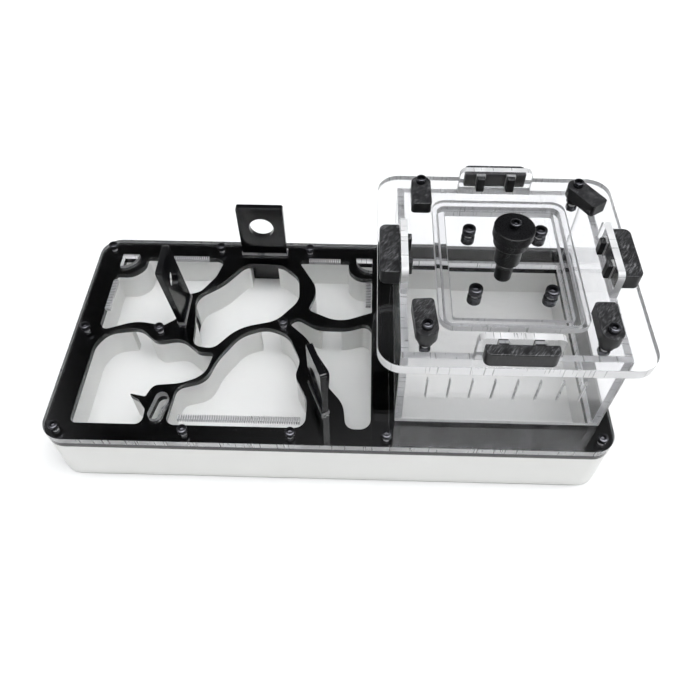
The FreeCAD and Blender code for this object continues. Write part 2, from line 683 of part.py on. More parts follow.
def make_lid_plate():
    """Clear lid that rests on the frame."""
    plate = slab(rounded(LID_X, LID_Y, LID_WIDTH, LID_DEPTH, LID_CORNER), Z_FRAME_TOP, LID_SHEET)
    cuts = round_holes(lid_screw_places(), M3["shank"] + FIT_GAP, Z_FRAME_TOP, LID_SHEET)
    cuts.append(rod(LID_X, LID_Y, Z_FRAME_TOP, PLUG_NOZZLE + FIT_GAP, LID_SHEET))
    return drilled(plate, cuts)


def make_lid_ring():
    """Ring bonded under the lid that keeps it centred in the frame opening."""
    width = LID_WIDTH - 2 * LID_LAP - 2 * SLIDE_GAP
    depth = LID_DEPTH - 2 * LID_LAP - 2 * SLIDE_GAP
    radius = LID_CORNER - LID_LAP - SLIDE_GAP
    z = Z_FRAME_TOP - LID_RING
    ring = slab(rounded(LID_X, LID_Y, width, depth, radius), z, LID_RING)
    inner = rounded(LID_X, LID_Y, width - 2 * LID_RING, depth - 2 * LID_RING, radius - 0.8 * LID_RING)
    return ring.cut(slab(inner, z, LID_RING))


def make_lid_screws():
    """Screws through the lid around the plug."""
    screws = [socket_screw(x, y, Z_LID_TOP, M3, LID_SCREW_LENGTH) for x, y in lid_screw_places()]
    return Part.makeCompound(screws)


def make_lid_nuts():
    """Round nuts of the lid screws."""
    nuts = []
    for x, y in lid_screw_places():
        nut = rod(x, y, Z_FRAME_TOP - LID_NUT_HEIGHT, LID_NUT_RADIUS, LID_NUT_HEIGHT)
        nuts.append(nut.cut(rod(x, y, Z_FRAME_TOP - LID_NUT_HEIGHT, M3["shank"], LID_NUT_HEIGHT)))
    return Part.makeCompound(nuts)


def make_feeder_plug():
    """Stacked feeder plug: nozzle through the lid, body, collar and cap, held by one screw."""
    rest = Z_LID_TOP + FIT_GAP
    collar = rest + PLUG_BODY_HEIGHT
    cap = collar + PLUG_COLLAR_HEIGHT
    top = cap + PLUG_CAP_HEIGHT
    bore = M25["shank"]
    depth = PLUG_CAP_HEIGHT + PLUG_COLLAR_HEIGHT + 6.0
    hole = rod(LID_X, LID_Y, top - depth, bore, depth)
    nozzle = rod(LID_X, LID_Y, Z_FRAME_TOP - PLUG_BELOW, PLUG_NOZZLE, PLUG_BELOW + LID_SHEET + FIT_GAP)
    drip = rod(LID_X, LID_Y, Z_FRAME_TOP - PLUG_BELOW, 1.5, PLUG_BELOW)
    body = rod(LID_X, LID_Y, rest, PLUG_BODY, PLUG_BODY_HEIGHT).cut(hole)
    ring = rod(LID_X, LID_Y, collar, PLUG_COLLAR, PLUG_COLLAR_HEIGHT)
    ring = ring.makeChamfer(0.6, [edge for edge in ring.Edges if edge.BoundBox.ZMax < collar + 0.1])
    disc = rod(LID_X, LID_Y, cap, PLUG_CAP, PLUG_CAP_HEIGHT)
    rim = [edge for edge in disc.Edges if edge.BoundBox.ZMin > cap + 0.5 * PLUG_CAP_HEIGHT]
    disc = disc.makeFillet(0.5, rim)
    return {"plug_nozzle": nozzle.cut(drip), "plug_body": body, "plug_collar": ring.cut(hole),
            "plug_cap": disc.cut(hole), "plug_screw": socket_screw(LID_X, LID_Y, top, M25, depth)}


# ---- export -------------------------------------------------------------------------------------
def make_parts():
    """Every node by name."""
    parts = {
        "nest_body": make_nest_body(),
        "base_plate": make_base_plate(),
        "mask_sheet": make_mask_sheet(),
        "cover_plate": make_cover_plate(),
        "cover_screws": make_cover_screws(),
        "cover_inserts": make_cover_inserts(),
        "top_frame": make_top_frame(),
        "latch_spacers": make_latch_spacers(),
        "latch_screws": make_latch_screws(),
        "latch_nuts": make_latch_nuts(),
        "lid_plate": make_lid_plate(),
        "lid_ring": make_lid_ring(),
        "lid_screws": make_lid_screws(),
        "lid_nuts": make_lid_nuts(),
    }
    for name in GATES:
        parts[name] = make_gate(name)
    for side in SIDES:
        parts["wall_" + side] = make_wall(side)
        parts["key_" + side] = make_key(side)
    for name in latch_places():
        parts["latch_" + name] = make_latch(name)
    parts.update(make_wicks())
    parts.update(make_feeder_plug())
    return parts


os.makedirs("parts", exist_ok=True)
for node, shape in make_parts().items():
    shape.exportStep("parts/" + node + ".step")
    box = shape.BoundBox
    print("%-20s solids %2d  volume %9.1f  z %6.2f to %6.2f" % (
        node, len(shape.Solids), shape.Volume, box.ZMin, box.ZMax))
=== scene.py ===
import json
import logging
import math
from dataclasses import dataclass, field
from enum import Enum
from typing import Any

import bmesh
import bpy
import numpy as np
from mathutils import Matrix, Vector

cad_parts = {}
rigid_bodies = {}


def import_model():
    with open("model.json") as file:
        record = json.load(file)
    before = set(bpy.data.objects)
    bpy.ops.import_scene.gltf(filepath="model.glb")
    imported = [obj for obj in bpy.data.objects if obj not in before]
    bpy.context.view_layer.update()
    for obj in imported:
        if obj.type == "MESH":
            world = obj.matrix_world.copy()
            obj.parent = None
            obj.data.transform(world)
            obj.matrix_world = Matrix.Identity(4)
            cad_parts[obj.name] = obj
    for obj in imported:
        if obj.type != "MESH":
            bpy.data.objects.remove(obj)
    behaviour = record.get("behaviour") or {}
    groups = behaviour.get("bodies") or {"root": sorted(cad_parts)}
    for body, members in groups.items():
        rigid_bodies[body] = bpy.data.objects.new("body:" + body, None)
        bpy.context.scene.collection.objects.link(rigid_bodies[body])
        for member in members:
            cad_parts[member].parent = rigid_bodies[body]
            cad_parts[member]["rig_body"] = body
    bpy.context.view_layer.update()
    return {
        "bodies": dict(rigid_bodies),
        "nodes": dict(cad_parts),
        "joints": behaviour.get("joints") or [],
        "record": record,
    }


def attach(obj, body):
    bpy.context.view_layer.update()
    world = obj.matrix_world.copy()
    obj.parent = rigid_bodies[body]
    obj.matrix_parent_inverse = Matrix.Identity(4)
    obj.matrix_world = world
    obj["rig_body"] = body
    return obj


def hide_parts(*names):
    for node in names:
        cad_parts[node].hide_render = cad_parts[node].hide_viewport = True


LOG = logging.getLogger("ant_nest")
MM = 0.001

NodeLink = tuple[bpy.types.Node, str | int]


# ---- small helpers ------------------------------------------------------------------------------
def linear(code: str) -> tuple[float, float, float, float]:
    """Turn an sRGB hex value into a linear colour.

    Args:
        code: Six hex digits, such as "F2F2EF".

    Returns:
        Red, green, blue and alpha, where each of the first three is c / 12.92 below 0.04045
        and ((c + 0.055) / 1.055) ** 2.4 above it.
    """
    parts = np.array([int(code[i:i + 2], 16) for i in (0, 2, 4)]) / 255.0
    low = parts / 12.92
    high = ((parts + 0.055) / 1.055) ** 2.4
    red, green, blue = np.where(parts <= 0.04045, low, high)
    return float(red), float(green), float(blue), 1.0


def add_node(tree: bpy.types.NodeTree, kind: str, feeds: dict[str | int, Any] | None = None,
             **settings: Any) -> bpy.types.Node:
    """Add one node with its settings, constants and links.

    Args:
        tree: The node tree.
        kind: Blender's node type name.
        feeds: Input socket to a constant, or to a (node, output) pair to link from.
        settings: Attributes of the node itself.

    Returns:
        The new node.
    """
    node = tree.nodes.new(kind)
    for key, value in settings.items():
        setattr(node, key, value)
    for key, value in (feeds or {}).items():
        if isinstance(value, tuple) and len(value) == 2 and isinstance(value[0], bpy.types.Node):
            tree.links.new(value[0].outputs[value[1]], node.inputs[key])
        else:
            node.inputs[key].default_value = value
    return node


class Slot(Enum):
    """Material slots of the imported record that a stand-in piece names."""

    WHITE_BODY = "white_body"
    WHITE_BASE = "white_base"
    BLACK_SHEET = "black_sheet"
    CLEAR = "clear_acrylic"
    BLACK_ACRYLIC = "black_acrylic"
    BLACK_SATIN = "black_satin"
    SCREW = "black_screw"


# ---- finishes -----------------------------------------------------------------------------------
@dataclass(frozen=True)
class Finish:
    """A finish: one Principled surface and the small marks that its making leaves on it."""

    name: str
    colour: str
    roughness: float
    ior: float = 1.49
    metallic: float = 0.0
    transmission: float = 0.0

    def build(self) -> bpy.types.Material:
        """Make the material.

        Returns:
            The material, with the marks of this kind of surface already added.
        """
        material = bpy.data.materials.new(self.name)
        material.use_nodes = True
        tree = material.node_tree
        tree.nodes.clear()
        shader = add_node(tree, "ShaderNodeBsdfPrincipled", {
            "Base Color": linear(self.colour), "Roughness": self.roughness, "IOR": self.ior,
            "Metallic": self.metallic, "Transmission Weight": self.transmission})
        add_node(tree, "ShaderNodeOutputMaterial", {"Surface": (shader, "BSDF")})
        place = add_node(tree, "ShaderNodeTexCoord")
        self.mark(tree, shader, (place, "Object"))
        material.diffuse_color = linear(self.colour)
        return material

    def mark(self, tree: bpy.types.NodeTree, shader: bpy.types.Node, place: NodeLink) -> None:
        """Add the marks of this kind of surface.

        Args:
            tree: The material's node tree.
            shader: Its Principled node.
            place: The object coordinates.
        """


@dataclass(frozen=True)
class MilledPlastic(Finish):
    """White PVC board milled with a small end mill: faint tool rings and a soft, even sheen."""

    shade: str = "D9D9D6"
    cloud_scale: float = 35.0
    grain_scale: float = 1250.0
    ring_scale: float = 400.0
    relief: float = 0.12
    relief_mm: float = 0.04

    def mark(self, tree: bpy.types.NodeTree, shader: bpy.types.Node, place: NodeLink) -> None:
        """Tool paths 0.8 mm apart in the bump, cloudy tone 30 mm across in the colour.

        Args:
            tree: The material's node tree.
            shader: Its Principled node.
            place: The object coordinates.
        """
        cloud = add_node(tree, "ShaderNodeTexNoise", {
            "Vector": place, "Scale": self.cloud_scale, "Detail": 3.0})
        tone = add_node(tree, "ShaderNodeMix", {
            "Factor": (cloud, "Fac"), "A": linear(self.shade), "B": linear(self.colour)}, data_type="RGBA")
        tree.links.new(tone.outputs["Result"], shader.inputs["Base Color"])
        grain = add_node(tree, "ShaderNodeTexNoise", {
            "Vector": place, "Scale": self.grain_scale, "Detail": 4.0})
        rings = add_node(tree, "ShaderNodeTexWave", {
            "Vector": place, "Scale": self.ring_scale, "Distortion": 6.0, "Detail": 2.0},
            wave_type="RINGS", rings_direction="Z")
        height = add_node(tree, "ShaderNodeMath", {0: (grain, "Fac"), 1: (rings, "Fac")}, operation="ADD")
        bump = add_node(tree, "ShaderNodeBump", {
            "Strength": self.relief, "Distance": self.relief_mm * MM, "Height": (height, "Value")})
        tree.links.new(bump.outputs["Normal"], shader.inputs["Normal"])


@dataclass(frozen=True)
class SheetPlastic(Finish):
    """Cast acrylic sheet: polished faces with hairline wiping marks, and cut edges with bars.

    The cut edges are the faces that turn away from the sheet's broad axis.  On clear sheet they
    are frosted by the saw.
    """

    broad: str = "Z"
    bar_mm: float = 1.1
    bar_depth_mm: float = 0.035
    bar_relief: float = 0.22
    haze: float = 0.05
    hair_scale: float = 9000.0
    frost: float = 0.0
    ground_roughness: float = 0.35

    def mark(self, tree: bpy.types.NodeTree, shader: bpy.types.Node, place: NodeLink) -> None:
        """Bars and frost on the cut edges only, and hairlines 0.1 mm wide in the roughness.

        Args:
            tree: The material's node tree.
            shader: Its Principled node.
            place: The object coordinates.
        """
        across = tuple(0.04 if axis == self.broad else 1.0 for axis in "XYZ")
        bars = add_node(tree, "ShaderNodeMapping", {"Vector": place, "Scale": across})
        stripes = add_node(tree, "ShaderNodeTexNoise", {
            "Vector": (bars, "Vector"), "Scale": 1000.0 / self.bar_mm, "Detail": 2.0, "Roughness": 0.7})
        facing = add_node(tree, "ShaderNodeNewGeometry")
        split = add_node(tree, "ShaderNodeSeparateXYZ", {"Vector": (facing, "True Normal")})
        flat = add_node(tree, "ShaderNodeMath", {0: (split, self.broad)}, operation="ABSOLUTE")
        edge = add_node(tree, "ShaderNodeMapRange", {
            "Value": (flat, "Value"), "From Min": 0.2, "From Max": 0.6, "To Min": 1.0, "To Max": 0.0})
        height = add_node(tree, "ShaderNodeMath", {
            0: (stripes, "Fac"), 1: (edge, "Result")}, operation="MULTIPLY")
        bump = add_node(tree, "ShaderNodeBump", {
            "Strength": self.bar_relief, "Distance": self.bar_depth_mm * MM,
            "Height": (height, "Value")})
        tree.links.new(bump.outputs["Normal"], shader.inputs["Normal"])
        lying = self.broad == "Z"
        wipe = add_node(tree, "ShaderNodeMapping", {
            "Vector": place, "Rotation": (0.0, 0.0, 0.5 if lying else 0.0),
            "Scale": (1.0, 0.02, 1.0) if lying else (1.0, 1.0, 0.03)})
        hair = add_node(tree, "ShaderNodeTexNoise", {
            "Vector": (wipe, "Vector"), "Scale": self.hair_scale, "Detail": 2.0})
        spread = add_node(tree, "ShaderNodeMapRange", {
            "Value": (hair, "Fac"), "From Min": 0.55, "From Max": 0.8,
            "To Min": self.roughness, "To Max": self.roughness + self.haze})
        if not self.frost:
            tree.links.new(spread.outputs["Result"], shader.inputs["Roughness"])
            return
        # Saw marks let some bars stay clear, so the frosted share follows the stripes.
        share = add_node(tree, "ShaderNodeMapRange", {
            "Value": (stripes, "Fac"), "From Min": 0.3, "From Max": 0.5, "To Min": 0.68, "To Max": 1.0})
        frosted = add_node(tree, "ShaderNodeMath", {
            0: (share, "Result"), 1: (edge, "Result")}, operation="MULTIPLY")
        clear = add_node(tree, "ShaderNodeMapRange", {
            "Value": (frosted, "Value"), "To Min": self.transmission,
            "To Max": self.transmission * (1.0 - self.frost)})
        tree.links.new(clear.outputs["Result"], shader.inputs["Transmission Weight"])
        ground = add_node(tree, "ShaderNodeMath", {
            0: (frosted, "Value"), 1: self.ground_roughness}, operation="MULTIPLY")
        rough = add_node(tree, "ShaderNodeMath", {
            0: (spread, "Result"), 1: (ground, "Value")}, operation="MAXIMUM")
        tree.links.new(rough.outputs["Value"], shader.inputs["Roughness"])


@dataclass(frozen=True)
class SandedPlastic(Finish):
    """Black acetal sawn and sanded by hand: grey scratches run one way over a satin face, with a painted
    highlight that lightens them on the faces that look up.
    """

    # Grey of the real scratches, which also serves as a painted highlight on the upward faces.
    scratch_and_highlight: str = "767678"
    angle: float = -0.65
    grit_mm: float = 0.26
    stretch: float = 10.0
    patch_scale: float = 190.0
    relief: float = 0.35
    relief_mm: float = 0.05

    def mark(self, tree: bpy.types.NodeTree, shader: bpy.types.Node, place: NodeLink) -> None:
        """Long thin noise, one grit wide, for scratches in colour, roughness and bump.

        The noise is stretched across X and turned by the angle.  Worn patches about 5 mm across carry most of
        the scratches, and the faces that look up carry the most grey, a painted highlight of light from
        above.

        Args:
            tree: The material's node tree.
            shader: Its Principled node.
            place: The object coordinates.
        """
        turn = add_node(tree, "ShaderNodeMapping", {
            "Vector": place, "Rotation": (0.0, 0.0, self.angle),
            "Scale": (1.0, self.stretch, self.stretch)}, vector_type="TEXTURE")
        lines = add_node(tree, "ShaderNodeTexNoise", {
            "Vector": (turn, "Vector"), "Scale": 1000.0 / self.grit_mm, "Detail": 3.0, "Roughness": 0.65})
        sharp = add_node(tree, "ShaderNodeMapRange", {
            "Value": (lines, "Fac"), "From Min": 0.5, "From Max": 0.66})
        patch = add_node(tree, "ShaderNodeTexNoise", {
            "Vector": place, "Scale": self.patch_scale, "Detail": 2.0})
        worn = add_node(tree, "ShaderNodeMapRange", {
            "Value": (patch, "Fac"), "From Min": 0.38, "From Max": 0.62, "To Min": 0.25, "To Max": 1.0})
        facing = add_node(tree, "ShaderNodeNewGeometry")
        split = add_node(tree, "ShaderNodeSeparateXYZ", {"Vector": (facing, "True Normal")})
        # Painted highlight: faces that look up get most of the scratch grey, as if lit from above.
        top = add_node(tree, "ShaderNodeMapRange", {
            "Value": (split, "Z"), "From Min": 0.3, "From Max": 0.9, "To Min": 0.08, "To Max": 1.0})
        most = add_node(tree, "ShaderNodeMath", {
            0: (worn, "Result"), 1: (top, "Result")}, operation="MULTIPLY")
        scratch_highlight_mask = add_node(tree, "ShaderNodeMath", {
            0: (sharp, "Result"), 1: (most, "Value")}, operation="MULTIPLY")
        # The colour mixes in the scratch grey: real scratches, plus a painted highlight where the faces look
        # up.
        tone = add_node(tree, "ShaderNodeMix", {
            "Factor": (scratch_highlight_mask, "Value"), "A": linear(self.colour), "B": linear(self.scratch_and_highlight)}, data_type="RGBA")
        tree.links.new(tone.outputs["Result"], shader.inputs["Base Color"])
        spread = add_node(tree, "ShaderNodeMapRange", {
            "Value": (scratch_highlight_mask, "Value"), "To Min": self.roughness, "To Max": min(1.0, self.roughness + 0.3)})
        tree.links.new(spread.outputs["Result"], shader.inputs["Roughness"])
        bump = add_node(tree, "ShaderNodeBump", {
            "Strength": self.relief, "Distance": self.relief_mm * MM, "Height": (lines, "Fac")})
        tree.links.new(bump.outputs["Normal"], shader.inputs["Normal"])


@dataclass(frozen=True)
class FineGrain(Finish):
    """A fine, even grain, as on black oxide screws, turned brass and turned plastic."""

    grain_scale: float = 2500.0
    relief: float = 0.2
    relief_mm: float = 0.03

    def mark(self, tree: bpy.types.NodeTree, shader: bpy.types.Node, place: NodeLink) -> None:
        """Grain 0.4 mm across that varies the roughness and lifts a little.

        Args:
            tree: The material's node tree.
            shader: Its Principled node.
            place: The object coordinates.
        """
        grain = add_node(tree, "ShaderNodeTexNoise", {
            "Vector": place, "Scale": self.grain_scale, "Detail": 3.0})
        spread = add_node(tree, "ShaderNodeMapRange", {
            "Value": (grain, "Fac"), "To Min": self.roughness - 0.08, "To Max": self.roughness + 0.12})
        tree.links.new(spread.outputs["Result"], shader.inputs["Roughness"])
        bump = add_node(tree, "ShaderNodeBump", {
            "Strength": self.relief, "Distance": self.relief_mm * MM, "Height": (grain, "Fac")})
        tree.links.new(bump.outputs["Normal"], shader.inputs["Normal"])


@dataclass(frozen=True)
class OpenSponge(Finish):
    """Open-cell sponge: round cells about 1 mm across in a matt body, darkened at their centres with painted
    shade.
    """

    # Colour of the painted shade in the cell hollows.
    painted_cell_shade: str = "1C1C1E"
    cell_scale: float = 1000.0
    relief: float = 0.8
    relief_mm: float = 0.4

    def mark(self, tree: bpy.types.NodeTree, shader: bpy.types.Node, place: NodeLink) -> None:
        """Cells from a Voronoi pattern, lower at their centres and darker there with painted shade.

        Args:
            tree: The material's node tree.
            shader: Its Principled node.
            place: The object coordinates.
        """
        cells = add_node(tree, "ShaderNodeTexVoronoi", {
            "Vector": place, "Scale": self.cell_scale})
        cell_depth_and_shade = add_node(tree, "ShaderNodeMapRange", {
            "Value": (cells, "Distance"), "From Min": 0.15, "From Max": 0.6})
        # Painted shade: the cell centres are darkened towards the dark cell colour.
        tone = add_node(tree, "ShaderNodeMix", {
            "Factor": (cell_depth_and_shade, "Result"), "A": linear(self.painted_cell_shade), "B": linear(self.colour)}, data_type="RGBA")
        tree.links.new(tone.outputs["Result"], shader.inputs["Base Color"])
        bump = add_node(tree, "ShaderNodeBump", {
            "Strength": self.relief, "Distance": self.relief_mm * MM, "Height": (cell_depth_and_shade, "Result")})
        tree.links.new(bump.outputs["Normal"], shader.inputs["Normal"])


@dataclass
class Workshop:
    """Every finish of the nest, built once."""

    white_body: Finish = MilledPlastic("milled_white_pvc", "ECECEA", 0.42, shade="E6E6E3")
    white_base: Finish = MilledPlastic("moulded_white_pvc_base", "E6E6E3", 0.3, shade="E0E0DD")
    black_sheet: Finish = SheetPlastic("cast_black_acrylic_mask", "050506", 0.06)
    black_gate: Finish = SheetPlastic("cast_black_acrylic_gate", "08080A", 0.12, bar_mm=0.8)
    clear_sheet: Finish = SheetPlastic("cast_clear_acrylic", "FEFEFF", 0.0, transmission=1.0, haze=0.02,
                                       frost=0.8)
    clear_cover: Finish = SheetPlastic("cast_clear_acrylic_cover", "FEFEFF", 0.0, transmission=1.0,
                                       haze=0.02, frost=0.3)
    clear_long_wall: Finish = SheetPlastic("cast_clear_acrylic_long_wall", "FEFEFF", 0.0, transmission=1.0,
                                           broad="Y", haze=0.02, frost=0.45)
    clear_side_wall: Finish = SheetPlastic("cast_clear_acrylic_side_wall", "FEFEFF", 0.0, transmission=1.0,
                                           broad="X", haze=0.02, frost=0.45)
    sanded: Finish = SandedPlastic("sanded_black_acetal", "0B0B0D", 0.32, ior=1.42)
    turned: Finish = FineGrain("turned_black_acetal", "08080A", 0.27, ior=1.38)
    screw: Finish = FineGrain("black_oxide_steel", "4C4C50", 0.22, ior=1.5, metallic=1.0)
    insert: Finish = FineGrain("turned_brass", "C79A4B", 0.25, ior=1.5, metallic=1.0)
    sponge: Finish = OpenSponge("grey_open_sponge", "9A9C9B", 0.9, ior=1.4)
    made: dict[str, bpy.types.Material] = field(default_factory=dict)

    def get(self, finish: Finish) -> bpy.types.Material:
        """Fetch the material of a finish, made the first time it is asked for.

        Args:
            finish: The finish.

        Returns:
            Its material.
        """
        if finish.name not in self.made:
            self.made[finish.name] = finish.build()
        return self.made[finish.name]


# ---- pieces from the frame ------------------------------------------------------------------------
@dataclass
class Bench:
    """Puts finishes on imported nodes, or stands a finer copy in for them."""

    frame: dict[str, Any]
    workshop: Workshop
    merge_m: float = 1e-6
    flat_deg: float = 0.5
    smooth_deg: float = 28.0
    ease_deg: float = 32.0

    def body_of(self, node: str) -> str:
        """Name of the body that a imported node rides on."""
        return self.frame["nodes"][node]["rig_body"]

    def dress(self, node: str, finish: Finish) -> None:
        """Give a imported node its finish.

        Args:
            node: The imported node's name.
            finish: The finish to put in all of its material slots.
        """
        piece = self.frame["nodes"][node]
        material = self.workshop.get(finish)
        if not piece.material_slots:
            piece.data.materials.append(material)
        for place in piece.material_slots:
            place.material = material

    def stand_in(self, name: str, mesh: bpy.types.Mesh, node: str, finish: Finish,
                 slot: Slot) -> bpy.types.Object:
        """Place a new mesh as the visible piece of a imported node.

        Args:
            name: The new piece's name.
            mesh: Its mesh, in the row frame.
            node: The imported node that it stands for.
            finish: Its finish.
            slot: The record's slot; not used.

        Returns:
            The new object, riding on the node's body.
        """
        mesh.name = name
        piece = bpy.data.objects.new(name, mesh)
        bpy.context.scene.collection.objects.link(piece)
        mesh.materials.clear()
        mesh.materials.append(self.workshop.get(finish))
        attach(piece, self.body_of(node))
        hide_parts(node)
        return piece

    def refined(self, node: str, finish: Finish, slot: Slot, shrink_mm: float = 0.0,
                edge_mm: float = 0.0, segments: int = 2) -> None:
        """Stand a merged copy in for a node, drawn in a little and with eased edges.

        Args:
            node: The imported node.
            finish: Finish of the copy.
            slot: The record's slot.
            shrink_mm: How far every face moves inwards, so that touching sheets don't coincide.
            edge_mm: Width of the eased edge, or 0 for none.
            segments: Steps across the eased edge.
        """
        source = self.frame["nodes"][node].data
        work = bmesh.new()
        work.from_mesh(source)
        bmesh.ops.remove_doubles(work, verts=work.verts, dist=self.merge_m)
        bmesh.ops.dissolve_limit(work, angle_limit=math.radians(self.flat_deg), verts=work.verts,
                                 edges=work.edges)
        work.normal_update()
        if shrink_mm:
            # Each point moves against its normal by the shell factor, which keeps faces parallel.
            moves = [(v, v.normal * (-shrink_mm * MM * v.calc_shell_factor())) for v in work.verts]
            for vert, move in moves:
                vert.co += move
        mesh = bpy.data.meshes.new(node)
        work.to_mesh(mesh)
        work.free()
        mesh.shade_smooth()
        mesh.set_sharp_from_angle(angle=math.radians(self.smooth_deg))
        piece = self.stand_in(node + "_shown", mesh, node, finish, slot)
        if edge_mm:
            bevel = piece.modifiers.new("eased_edge", "BEVEL")
            bevel.width = edge_mm * MM
            bevel.segments = segments
            bevel.limit_method = "ANGLE"
            bevel.angle_limit = math.radians(self.ease_deg)
            bevel.use_clamp_overlap = True
            bevel.harden_normals = True


# ---- screws ---------------------------------------------------------------------------------------
@dataclass(frozen=True)
class ScrewSize:
    """Sizes of a socket head screw in millimetres."""

    head_radius: float
    head_height: float
    hex_across: float
    shank_radius: float


SMALL_SCREW = ScrewSize(2.25, 2.5, 2.0, 1.2)
LID_SCREW = ScrewSize(2.9, 3.0, 2.5, 1.45)


@dataclass
class SocketScrews:
    """Socket head screws with a knurled head, a hexagon recess and a plain shank.

    A screw is one surface: radius and height along a profile from the recess floor to the shank
    tip, carried once round the axis.  Head sides are r * (1 + d * cos(n * a)), and recess sides are
    the hexagon a / cos(angle to the nearest flat).
    """

    bench: Bench
    node: str
    size: ScrewSize
    around: int = 72
    knurls: int = 24
    axis_m: float = 1e-6
    merge_m: float = 3e-6
    smooth_deg: float = 35.0

    def centres(self) -> list[tuple[float, float, float, float]]:
        """Find each screw of the node.

        Returns:
            x, y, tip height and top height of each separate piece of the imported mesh, in metres.
        """
        work = bmesh.new()
        work.from_mesh(self.bench.frame["nodes"][self.node].data)
        bmesh.ops.remove_doubles(work, verts=work.verts, dist=self.bench.merge_m)
        seen: set[bmesh.types.BMVert] = set()
        found = []
        for start in work.verts:
            if start in seen:
                continue
            stack, group = [start], []
            seen.add(start)
            while stack:
                vert = stack.pop()
                group.append(vert.co[:])
                for edge in vert.link_edges:
                    other = edge.other_vert(vert)
                    if other not in seen:
                        seen.add(other)
                        stack.append(other)
            spots = np.array(group)
            low, high = spots.min(0), spots.max(0)
            middle = 0.5 * (low + high)
            found.append((float(middle[0]), float(middle[1]), float(low[2]), float(high[2])))
        work.free()
        return sorted(found)

    def surface(self, x: float, y: float, tip: float, top: float) -> tuple[np.ndarray, np.ndarray]:
        """Points and quads of one screw.

        Args:
            x: Axis position.
            y: Axis position.
            tip: Height of the shank's end.
            top: Height of the head's top.

        Returns:
            Points (n, 3) and faces as rows of four indices.
        """
        head = self.size.head_radius * MM
        tall = self.size.head_height * MM
        hexa = 0.5 * self.size.hex_across * MM
        shank = self.size.shank_radius * MM
        seat = top - tall
        floor = top - 0.55 * tall
        angle = np.linspace(0.0, 2.0 * np.pi, self.around, endpoint=False)
        flat = hexa / np.cos((angle + np.pi / 6) % (np.pi / 3) - np.pi / 6)
        knurl = 1.0 - 0.018 * (0.5 + 0.5 * np.cos(self.knurls * angle))
        plain = np.ones_like(angle)
        # Each row is a radius and a height, as shares of the head's own radius and height.
        rows = [
            (self.axis_m * plain, floor - 0.1 * tall), (flat * 0.96, floor), (flat, floor + 0.03 * tall),
            (flat, top - 0.08 * tall), (flat * 1.1, top), (0.86 * head * plain, top),
            (0.95 * head * plain, top - 0.05 * tall), (head * knurl, top - 0.14 * tall),
            (head * knurl, seat + 0.12 * tall), (0.96 * head * plain, seat + 0.02 * tall),
            (0.93 * head * plain, seat), (shank * plain, seat), (shank * plain, tip + 0.2 * MM),
            (0.85 * shank * plain, tip), (self.axis_m * plain, tip)]
        radius = np.array([row[0] for row in rows])
        height = np.array([np.full(self.around, row[1]) for row in rows])
        points = np.stack([x + radius * np.cos(angle), y + radius * np.sin(angle), height], axis=-1)
        count = len(rows)
        first = np.arange(count - 1)[:, None] * self.around
        step = np.arange(self.around)[None, :]
        ahead = (step + 1) % self.around
        quads = np.stack([first + step, first + self.around + step,
                          first + self.around + ahead, first + ahead], axis=-1)
        return points.reshape(-1, 3), quads.reshape(-1, 4)

    def build(self, finish: Finish) -> None:
        """Build every screw of the node as one mesh.

        Args:
            finish: The screws' finish.
        """
        points, faces, start = [], [], 0
        for x, y, tip, top in self.centres():
            spots, quads = self.surface(x, y, tip, top)
            points.append(spots)
            faces.append(quads + start)
            start += len(spots)
        mesh = bpy.data.meshes.new(self.node)
        mesh.from_pydata(np.concatenate(points).tolist(), [], np.concatenate(faces).tolist())
        work = bmesh.new()
        work.from_mesh(mesh)
        bmesh.ops.remove_doubles(work, verts=work.verts, dist=self.merge_m)
        bmesh.ops.recalc_face_normals(work, faces=work.faces)
        work.to_mesh(mesh)
        work.free()
        mesh.shade_smooth()
        mesh.set_sharp_from_angle(angle=math.radians(self.smooth_deg))
        self.bench.stand_in(self.node + "_shown", mesh, self.node, finish, Slot.SCREW)


# ---- sub-assemblies -------------------------------------------------------------------------------
@dataclass
class NestStack:
    """The sheets that make the nest: base, white body, black mask and clear cover."""

    bench: Bench
    contact_mm: float = 0.02
    body_edge_mm: float = 0.25
    mask_edge_mm: float = 0.15

    def build(self) -> None:
        """Dress the stack, its screws, inserts and wicks."""
        bench, shop = self.bench, self.bench.workshop
        bench.refined("nest_body", shop.white_body, Slot.WHITE_BODY, self.contact_mm,
                      self.body_edge_mm)
        bench.refined("base_plate", shop.white_base, Slot.WHITE_BASE, self.contact_mm)
        bench.refined("mask_sheet", shop.black_sheet, Slot.BLACK_SHEET, self.contact_mm,
                      self.mask_edge_mm)
        bench.refined("cover_plate", shop.clear_cover, Slot.CLEAR, self.contact_mm)
        SocketScrews(bench, "cover_screws", SMALL_SCREW).build(shop.screw)
        bench.dress("cover_inserts", shop.insert)
        for node in ("wick_back_left", "wick_back_right", "wick_front"):
            bench.dress(node, shop.sponge)
        LOG.info("nest stack: base, body, mask, cover, screws, inserts and wicks")


@dataclass
class Gates:
    """The three black slides that close the passages."""

    bench: Bench
    names: tuple[str, ...] = ("gate_back", "gate_left", "gate_right")
    edge_mm: float = 0.18

    def build(self) -> None:
        """Dress the gates with eased edges."""
        for name in self.names:
            self.bench.refined(name, self.bench.workshop.black_gate, Slot.BLACK_ACRYLIC, 0.0, self.edge_mm)
            LOG.info("gate: %s", name)


